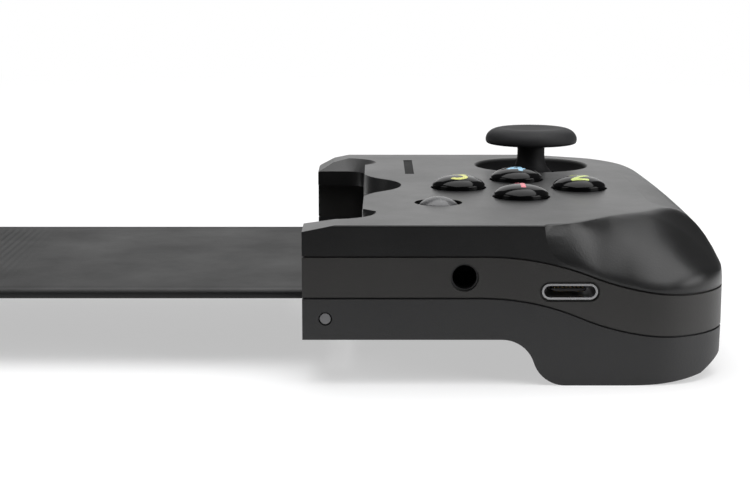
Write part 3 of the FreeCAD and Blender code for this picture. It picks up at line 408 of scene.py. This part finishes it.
def top_of(node):
    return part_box(node)[1][2] / MM


# Stick caps

CAP_RADIUS = 8.4
CAP_TOP = 30.95
CAP_THICK = 2.75
CAP_DIP = 0.35
CAP_SHOULDER = 2.6
LIP_HEIGHT = 0.75
LIP_IN = 0.45
LIP_UP = 0.4
LIP_RADIUS = 0.38
ARCH_START = 0.02
ARCH_RISE = 0.5
NECK_ROUND = 1.7
SLEEVE_RADIUS = 2.5
SLEEVE_STRAIGHT = 0.4
BOOT_LOW = 22.3
BOOT_FLARE = 2.0
RIM_RIDGES = 72
RIM_DEPTH = 0.035
RIM_OUT = 0.5
RIM_WIDTH = 0.55
RIM_LOW = -1.0


def cap_profile():
    """Half a section of the cap: a dipped pad, a round shoulder, a small lower lip, an arched underside,
    a neck, and a boot that widens with the cube of the way down."""
    pad_edge = CAP_RADIUS - CAP_SHOULDER
    bowl = np.linspace(0.0, pad_edge, 26)
    pad = np.stack([bowl, -CAP_DIP * (1 - (bowl / pad_edge) ** 2) ** 1.5], 1)
    turn = np.radians(np.linspace(90, -12, 34))[1:]
    low = CAP_THICK - LIP_HEIGHT
    shoulder = np.stack([pad_edge + CAP_SHOULDER * np.cos(turn), -low + low * np.sin(turn)], 1)
    lip = arc_points((CAP_RADIUS - LIP_IN, -CAP_THICK + LIP_UP), LIP_RADIUS, -8, -90, 10)
    inward = np.linspace(0.0, 1.0, 22)[1:]
    neck = SLEEVE_RADIUS + NECK_ROUND
    reach = CAP_RADIUS - LIP_IN - neck
    arch = np.stack([
        CAP_RADIUS - LIP_IN - reach * inward,
        -CAP_THICK + ARCH_START + ARCH_RISE * np.sin(inward * np.pi / 2),
    ], 1)
    fillet_level = -CAP_THICK + (ARCH_START + ARCH_RISE) - NECK_ROUND
    fillet = arc_points((neck, fillet_level), NECK_ROUND, 90, 180, 16)[1:]
    boot = BOOT_LOW - CAP_TOP
    straight = fillet[-1, 1] - SLEEVE_STRAIGHT
    fall = np.linspace(0.0, 1.0, 20)[1:]
    flare = np.stack([SLEEVE_RADIUS + BOOT_FLARE * fall ** 3, straight + (boot - straight) * fall], 1)
    return np.concatenate([pad, shoulder, lip, arch, fillet, flare, [(0.0, boot)]])


def rim_ridges(radius, angle, height):
    """Fine ridges round the edge of the pad: a cosine of the angle that fades away from the pad's edge."""
    edge = CAP_RADIUS - CAP_SHOULDER + RIM_OUT
    fade = np.exp(-((radius - edge) / RIM_WIDTH) ** 2) * (height > RIM_LOW)
    return -RIM_DEPTH * fade * (0.5 + 0.5 * np.cos(RIM_RIDGES * angle))


def stick_cap(side):
    centre = middle_of(side + "_stick_cap")
    centre[2] = CAP_TOP
    piece = skin(side + "_cap_rubber", [turned(cap_profile(), centre, 288, rim_ridges)], RUBBER)
    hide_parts(side + "_stick_cap")
    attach(piece, side + "_stick")


# Face keys, and legends on them: plain digits that follow the domes

PLANE = 24.1
KEY_RADIUS = 4.4
KEY_RIM = 0.5
KEY_CROWN = 2.05
KEY_FULLNESS = 2.3
KEY_STEEPNESS = 1.55
KEY_EDGE = 0.1
KEY_WAIST = -0.4
KEY_SKIRT = -2.2
DIGIT_SCALE = 3.1
STROKE_HALF = 0.40
STROKE_RISE = 0.04
STROKE_END = 0.06


def key_level(radius):
    """The dome's height over the shell: a superellipse between the rim and the crown."""
    share = np.clip(radius / KEY_RADIUS, 0, 1)
    return KEY_RIM + (KEY_CROWN - KEY_RIM) * (1 - share ** KEY_FULLNESS) ** (1 / KEY_STEEPNESS)


def key_profile():
    """Half a section of a face key: its dome, a soft rim, an upright side and a closed underside."""
    share = np.sin(np.linspace(0, np.pi / 2, 60))
    dome = np.stack([KEY_RADIUS * share, key_level(KEY_RADIUS * share)], 1)
    side = np.array([
        (KEY_RADIUS, KEY_RIM - KEY_EDGE), (KEY_RADIUS, KEY_WAIST), (KEY_RADIUS, KEY_SKIRT), (0.0, KEY_SKIRT),
    ])
    return np.concatenate([dome, side])


def face_key(name):
    centre = middle_of(name + "_button")
    centre[2] = PLANE
    piece = skin(name + "_dome", [turned(key_profile(), centre, 144)], KEY)
    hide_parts(name + "_button")
    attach(piece, name + "_key")


SMALL_RADIUS = 2.9
SMALL_BASE = 3.3
SMALL_CROWN = 1.0
SMALL_SINK = 0.1
SMALL_FOOT = -0.9
SMALL_FULLNESS = 0.9
COLLAR_IN = 0.2
COLLAR_LEVEL = -0.35
COLLAR_BEVEL = 0.15
COLLAR_FOOT = -2.2


def small_key(side):
    """A bright dome in a dark flat collar that fills the well. The dome's height is a power of one less
    the square of the way out."""
    centre = middle_of(side + "_small_button")
    centre[2] = PLANE
    share = np.sin(np.linspace(0, np.pi / 2, 40))
    rise = (SMALL_CROWN + SMALL_SINK) * (1 - share ** 2) ** SMALL_FULLNESS
    dome = np.stack([SMALL_RADIUS * share, -SMALL_SINK + rise], 1)
    foot = np.array([(SMALL_RADIUS, SMALL_FOOT), (0.0, SMALL_FOOT)])
    bright = skin(side + "_small_dome", [turned(np.concatenate([dome, foot]), centre, 120)], SILVER)
    inner = SMALL_RADIUS - COLLAR_IN
    collar = np.array([
        (inner, COLLAR_LEVEL), (SMALL_BASE - COLLAR_BEVEL, COLLAR_LEVEL),
        (SMALL_BASE, COLLAR_LEVEL - COLLAR_BEVEL), (SMALL_BASE, COLLAR_FOOT),
        (inner, COLLAR_FOOT), (inner, COLLAR_LEVEL),
    ])
    dark = skin(side + "_small_collar", [turned(collar, centre, 120)], DARK)
    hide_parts(side + "_small_button")
    for piece, slot in ((bright, "silver_key"), (dark, "black_plastic")):
        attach(piece, side + "_small_key")


# The middle line of each digit, in units of DIGIT_SCALE
DIGITS = {
    "near": np.array([(-0.30, 0.40), (0.06, 0.74), (0.06, -0.74)]),
    "right": np.concatenate([arc_points((0, 0.32), 0.42, 165, -25), [(-0.44, -0.74), (0.46, -0.74)]]),
    "left": np.concatenate([
        arc_points((-0.04, 0.37), 0.37, 150, -75), arc_points((-0.04, -0.35), 0.40, 75, -150),
    ]),
    "far": np.array([(0.20, -0.74), (0.20, 0.74), (-0.46, -0.24), (0.50, -0.24)]),
}


def stroke_on_dome(path, centre):
    """A flattened tube along a path laid on the dome: an ellipse, wide along the dome and low above it,
    that shrinks to a point at both ends as the root of one less the square."""
    flat = resampled(path, 120) * DIGIT_SCALE
    ahead = np.gradient(flat, axis=0)
    ahead /= np.linalg.norm(ahead, axis=1)[:, None]
    beside = np.stack([-ahead[:, 1], ahead[:, 0]], 1)
    along = np.linspace(-1, 1, len(flat))
    past = np.clip((np.abs(along) - (1 - STROKE_END)) / STROKE_END, 0, 1)
    taper = np.sqrt(np.clip(1 - past ** 2, 0, 1))
    angle = np.linspace(0, 2 * np.pi, 28, endpoint=False)
    wide = STROKE_HALF * taper[:, None] * np.cos(angle)[None]
    high = STROKE_RISE * taper[:, None] * np.sin(angle)[None]
    spot = flat[:, None] + beside[:, None] * wide[..., None]
    level = key_level(np.linalg.norm(spot, axis=-1)) + high
    return np.concatenate([spot, level[..., None]], -1) + centre


def legend(name, finish):
    centre = middle_of(name + "_button")
    centre[2] = PLANE
    piece = skin(name + "_digit", [stroke_on_dome(DIGITS[name], centre)], finish)
    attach(piece, name + "_key")


# Strap

STRAP_SOFT = 0.5
WELT_DEPTH = 0.09
WELT_IN = 2.2
WELT_WIDTH = 0.5
RIB_DEPTH = 0.12
RIB_STEP = 1.3
RIB_IN = 3.4
FOLD_HALF = 6.5


def strap_skin():
    """The strap as one sheet: a rounded oblong section carried from end to end, with a low groove inside
    each long edge (a bell curve across the width) and faint cross grooves near the fold (a cosine along
    the length)."""
    low_right, high_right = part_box("right_strap_half")
    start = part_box("left_strap_half")[0][0] / MM
    end = high_right[0] / MM
    half_depth = high_right[1] / MM
    low = low_right[2] / MM
    high = high_right[2] / MM
    half_thick = (high - low) / 2
    middle = (high + low) / 2
    edge = np.radians(np.linspace(-90, 90, 14))
    flat = np.linspace(0, 1, 70)[1:-1]
    reach = half_depth - STRAP_SOFT
    far_edge = np.stack([reach + STRAP_SOFT * np.cos(edge), half_thick * np.sin(edge)], 1)
    top = np.stack([reach - 2 * reach * flat, np.full(len(flat), half_thick)], 1)
    near_edge = np.stack([-reach - STRAP_SOFT * np.cos(edge), -half_thick * np.sin(edge)], 1)
    under = np.stack([-reach + 2 * reach * flat, np.full(len(flat), -half_thick)], 1)
    section = np.concatenate([far_edge, top, near_edge, under])
    along = np.linspace(start, end, 300)
    welt = np.exp(-((np.abs(section[:, 0]) - half_depth + WELT_IN) / WELT_WIDTH) ** 2)
    near_fold = np.exp(-(along / FOLD_HALF) ** 2)[:, None]
    ribs = near_fold * (0.5 + 0.5 * np.cos(2 * np.pi * along / RIB_STEP))[:, None]
    inside = (np.abs(section[:, 0]) < half_depth - RIB_IN)[None, :]
    sink = np.maximum(WELT_DEPTH * welt[None, :] * np.ones_like(ribs), RIB_DEPTH * ribs * inside)
    height = section[:, 1][None] - np.sign(section[:, 1])[None] * sink
    grid = np.stack([
        np.repeat(along[:, None], len(section), 1), section[:, 0][None] + 0 * ribs, middle + height,
    ], -1)
    lid = grid[[0]].copy()
    lid[..., 1:] = [0.0, middle]
    other = grid[[-1]].copy()
    other[..., 1:] = [0.0, middle]
    return np.concatenate([lid, grid, other]), middle


def strap():
    grid, middle = strap_skin()
    piece = skin("folding_strap", [grid], STRAP)
    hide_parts("right_strap_half", "left_strap_half")
    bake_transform(piece)


# Screws with a cross recess

SCREW_HEAD = 1.6
SCREW_SHANK = 0.8
SCREW_LENGTH = 9.0
HEAD_ROUND = 0.25
THREAD_DEPTH = 0.12
THREAD_STEP = 0.6
THREAD_START = 0.4
RECESS_HALF = 0.22
RECESS_REACH = 0.95
RECESS_DEPTH = 0.42
RECESS_FLANK = 0.1
RECESS_END = 0.2
FACE_UNDER = 0.02

# Rows of screws: distance from the grip's inner end, places in depth, level of the seat, head's thickness
SCREW_ROWS = [
    (10.0, (-38.0, 38.0), 7.8, 0.7),
    (49.0, (-24.0, 4.0), 1.6, 0.9),
]


def bar(across, along):
    """1 on one bar of the cross and 0 beside it, with slopes at its flanks and at its ends."""
    flank = np.clip((RECESS_HALF - np.abs(across)) / RECESS_FLANK + 0.5, 0, 1)
    return flank * np.clip((RECESS_REACH - np.abs(along)) / RECESS_END, 0, 1)


def recess(radius, angle, height):
    """A cross sunk into the head's face: full depth where either of two bars is."""
    x = radius * np.cos(angle)
    y = radius * np.sin(angle)
    on_face = height < FACE_UNDER
    return RECESS_DEPTH * np.maximum(bar(x, y), bar(y, x)) * on_face


def screw(place, seat, head_thick):
    """A pan head that faces down, its seat, and a shank whose radius waves with the height as a thread's."""
    face = np.linspace(0, SCREW_HEAD - HEAD_ROUND, 30)
    rounding = np.radians(np.linspace(-80, 0, 8))
    shank = np.linspace(0, SCREW_LENGTH, 120)
    wave = 0.5 - 0.5 * np.cos(2 * np.pi * shank / THREAD_STEP)
    thread = SCREW_SHANK - THREAD_DEPTH * wave * (shank > THREAD_START)
    edge = SCREW_HEAD - HEAD_ROUND
    profile = np.concatenate([
        np.stack([face, np.zeros(len(face))], 1),
        np.stack([edge + HEAD_ROUND * np.cos(rounding), HEAD_ROUND + HEAD_ROUND * np.sin(rounding)], 1),
        [(SCREW_HEAD, head_thick)],
        np.stack([thread, head_thick + shank], 1),
        [(0.0, head_thick + SCREW_LENGTH)],
    ])
    return turned(profile, (*place, seat - head_thick), 96, recess)


def screws(side):
    sign = 1 if side == "right" else -1
    grids = [screw((sign * (GRIP_IN + out), depth), seat, thick)
             for out, depths, seat, thick in SCREW_ROWS for depth in depths]
    piece = skin(side + "_cross_screws", grids, STEEL)
    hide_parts(side + "_case_screws")
    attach(piece, side + "_grip")


# Contacts of the charging socket and of the phone's plug

PORT_IN = 39.4
PORT_LEVEL = 14.2
TONGUE_DEPTH = -37.7
TONGUE_HALF = (2.7, 2.9, 0.3)
CONTACT_DEPTH = -38.6
CONTACT_HALF = (0.17, 1.6, 0.035)
CONTACT_SPAN = 2.1
PLUG_LEVEL = 15.65
PLUG_FACE = 0.75
PAD_IN = 2.4
PAD_HALF = (1.5, 0.24, 0.04)
PAD_SPAN = 2.4
CONTACTS = 8


def port_tongue():
    """The flat tongue in the charging socket, a block with soft edges, and the contacts on both its faces."""
    x = GRIP_IN + PORT_IN
    tongue = skin("port_tongue", [slab((x, TONGUE_DEPTH, PORT_LEVEL), TONGUE_HALF, 13, 40)], DARK)
    contacts = [slab((x + step, CONTACT_DEPTH, PORT_LEVEL + face), CONTACT_HALF, 7, 20)
                for face in (TONGUE_HALF[2], -TONGUE_HALF[2])
                for step in np.linspace(-CONTACT_SPAN, CONTACT_SPAN, CONTACTS)]
    gold = skin("port_contacts", contacts, GOLD)
    for piece, slot in ((tongue, "black_plastic"), (gold, "steel")):
        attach(piece, "right_grip")


def plug_contacts():
    """Eight gold pads on each face of the plug's tab, each a thin block with soft edges."""
    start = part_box("phone_plug")[0][0] / MM
    pads = [slab((start + PAD_IN, step, PLUG_LEVEL + face), PAD_HALF, 7, 20)
            for face in (PLUG_FACE, -PLUG_FACE) for step in np.linspace(-PAD_SPAN, PAD_SPAN, CONTACTS)]
    piece = skin("plug_contacts", pads, GOLD)
    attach(piece, "right_grip")


# Direction marks

MARK_REACH = 7.3
MARK_SIZE = 1.25
MARK_RISE = 0.14
MARK_SINK = 0.08
CORNER_PULL = 1.15
CORNER_BLUNT = 0.35


def mark(centre, heading):
    """A low three-sided mound: its edge is a triangle with round corners, and its height falls off
    as one less the fourth power of the distance from its middle."""
    angle = np.linspace(0, 2 * np.pi, 72, endpoint=False)
    turned_by = (angle - heading + np.pi / 3) % (2 * np.pi / 3) - np.pi / 3
    edge = MARK_SIZE / (CORNER_PULL * np.cos(np.abs(turned_by) - np.pi / 3) + CORNER_BLUNT)
    share = np.linspace(0, 1, 14)
    upper = np.stack([share, MARK_RISE * (1 - share ** 4)], 1)
    lower = np.stack([share[::-1], np.full(len(share), -MARK_SINK)], 1)
    rows = np.concatenate([upper, lower])
    reach = rows[:, 0][:, None] * edge[None]
    return np.stack([
        centre[0] + reach * np.cos(angle), centre[1] + reach * np.sin(angle),
        centre[2] + rows[:, 1][:, None] + 0 * reach,
    ], -1)


def direction_marks():
    centre = middle_of("d_pad")
    centre[2] = top_of("d_pad")
    headings = np.radians([0, 90, 180, 270])
    grids = [mark(centre + MARK_REACH * np.array([np.cos(way), np.sin(way), 0]), way) for way in headings]
    piece = skin("direction_marks", grids, MARKS)
    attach(piece, "pad_key")


for side in ("right", "left"):
    stick_cap(side)
    small_key(side)
    screws(side)
for name, finish in DIGIT_FINISHES.items():
    face_key(name)
    legend(name, finish)
strap()
port_tongue()
plug_contacts()
direction_marks()


# Stage, lamps and camera

def floor():
    """A large pale floor that takes the shadow near the object and is plain white far from it. What is
    seen of it in a gloss in front of the object is dim."""
    mesh = bpy.data.meshes.new("floor")
    half = FLOOR_HALF
    corners = [(-half, -half, 0), (half, -half, 0), (half, half, 0), (-half, half, 0)]
    mesh.from_pydata(corners, [], [(0, 1, 2, 3)])
    piece = bpy.data.objects.new("floor", mesh)
    bpy.context.scene.collection.objects.link(piece)
    made = material("pale_floor")
    shader = shader_of(made)
    shader.inputs["Base Color"].default_value = FLOOR_COLOUR
    shader.inputs["Roughness"].default_value = FLOOR_ROUGH
    shader.inputs["Specular IOR Level"].default_value = FLOOR_SPECULAR
    white = add(made, "ShaderNodeEmission", Strength=1.0)
    where = add(made, "ShaderNodeTexCoord")
    distance = add(made, "ShaderNodeVectorMath", operation="LENGTH")
    link(made, where, "Object", distance, 0)
    far = spread(made, distance, "Value", FLOOR_GLOW, 1.0, *SHADOW_ZONE)
    seen = seen_directly(made)
    share = add(made, "ShaderNodeMath", operation="MULTIPLY")
    link(made, far, "Result", share, 0)
    link(made, seen, "Value", share, 1)
    mix = add(made, "ShaderNodeMixShader")
    link(made, share, "Value", mix, 0)
    link(made, shader, "BSDF", mix, 1)
    link(made, white, "Emission", mix, 2)
    place = add(made, "ShaderNodeSeparateXYZ")
    link(made, where, "Object", place, "Vector")
    front = spread(made, place, "Y", FRONT_DIM, 0.0, *FRONT_EDGE)
    path = add(made, "ShaderNodeLightPath")
    hidden = add(made, "ShaderNodeMath", operation="MULTIPLY")
    link(made, front, "Result", hidden, 0)
    link(made, path, "Is Glossy Ray", hidden, 1)
    black = add(made, "ShaderNodeBsdfDiffuse")
    black.inputs["Color"].default_value = (0, 0, 0, 1)
    dimmed = add(made, "ShaderNodeMixShader")
    link(made, hidden, "Value", dimmed, 0)
    link(made, mix, "Shader", dimmed, 1)
    link(made, black, "BSDF", dimmed, 2)
    link(made, dimmed, "Shader", made.node_tree.nodes["Material Output"], "Surface")
    mesh.materials.append(made)


def seen_directly(owner):
    """1 for what the camera, a mirror or a clear piece looks at, and 0 for light on matt surfaces."""
    path = add(owner, "ShaderNodeLightPath")
    either = add(owner, "ShaderNodeMath", operation="MAXIMUM")
    link(owner, path, "Is Camera Ray", either, 0)
    link(owner, path, "Is Glossy Ray", either, 1)
    any_of = add(owner, "ShaderNodeMath", operation="MAXIMUM")
    link(owner, either, "Value", any_of, 0)
    link(owner, path, "Is Transmission Ray", any_of, 1)
    return any_of


def surround():
    """A dark gray surround, which the camera sees past the floor's edge. In a gloss it is at its full
    level behind, above and to the right, and dim in front."""
    world = bpy.data.worlds.new("studio")
    world.use_nodes = True
    bpy.context.scene.world = world
    tree = world.node_tree
    background = tree.nodes["Background"]
    where = add(world, "ShaderNodeTexCoord")
    split = add(world, "ShaderNodeSeparateXYZ")
    link(world, where, "Generated", split, "Vector")
    depth = spread(world, split, "Y", FRONT_LEVEL, 1.0, *BACK_EDGE)
    depth.interpolation_type = "SMOOTHSTEP"
    height = spread(world, split, "Z", 0.0, 1.0, *TOP_EDGE)
    beside = spread(world, split, "X", 0.0, RIGHT_LEVEL, *RIGHT_EDGE)
    around = add(world, "ShaderNodeMath", operation="MAXIMUM")
    link(world, depth, "Result", around, 0)
    link(world, beside, "Result", around, 1)
    bright = add(world, "ShaderNodeMath", operation="MAXIMUM")
    link(world, around, "Value", bright, 0)
    link(world, height, "Result", bright, 1)
    path = add(world, "ShaderNodeLightPath")
    mirror = add(world, "ShaderNodeMath", operation="MULTIPLY")
    link(world, path, "Is Glossy Ray", mirror, 0)
    link(world, bright, "Value", mirror, 1)
    direct = add(world, "ShaderNodeMath", operation="MAXIMUM")
    link(world, path, "Is Camera Ray", direct, 0)
    link(world, path, "Is Transmission Ray", direct, 1)
    seen = add(world, "ShaderNodeMath", operation="MAXIMUM")
    link(world, mirror, "Value", seen, 0)
    link(world, direct, "Value", seen, 1)
    diffuse = add(world, "ShaderNodeMath", operation="MULTIPLY")
    diffuse.inputs[1].default_value = AMBIENT
    link(world, path, "Is Diffuse Ray", diffuse, 0)
    total = add(world, "ShaderNodeMath", operation="ADD")
    link(world, seen, "Value", total, 0)
    link(world, diffuse, "Value", total, 1)
    link(world, total, "Value", background, "Strength")


def lamps():
    """Makes each lamp and turns it to its aim."""
    for name, (place, aim, side, power) in LAMPS.items():
        lamp = bpy.data.lights.new(name, "AREA")
        lamp.size = side
        lamp.energy = power
        piece = bpy.data.objects.new(name, lamp)
        piece.location = place
        piece.rotation_euler = (Vector(aim) - Vector(place)).to_track_quat("-Z", "Y").to_euler()
        bpy.context.scene.collection.objects.link(piece)


def camera():
    eye = bpy.data.cameras.new("camera")
    eye.lens = CAMERA_LENS
    eye.clip_start = 0.01
    eye.clip_end = 50
    piece = bpy.data.objects.new("camera", eye)
    piece.location = CAMERA_PLACE
    piece.rotation_euler = (math.radians(90) - CAMERA_PITCH, 0, 0)
    bpy.context.scene.collection.objects.link(piece)
    bpy.context.scene.camera = piece


floor()
surround()
lamps()
camera()
bpy.context.scene.view_settings.view_transform = "Standard"
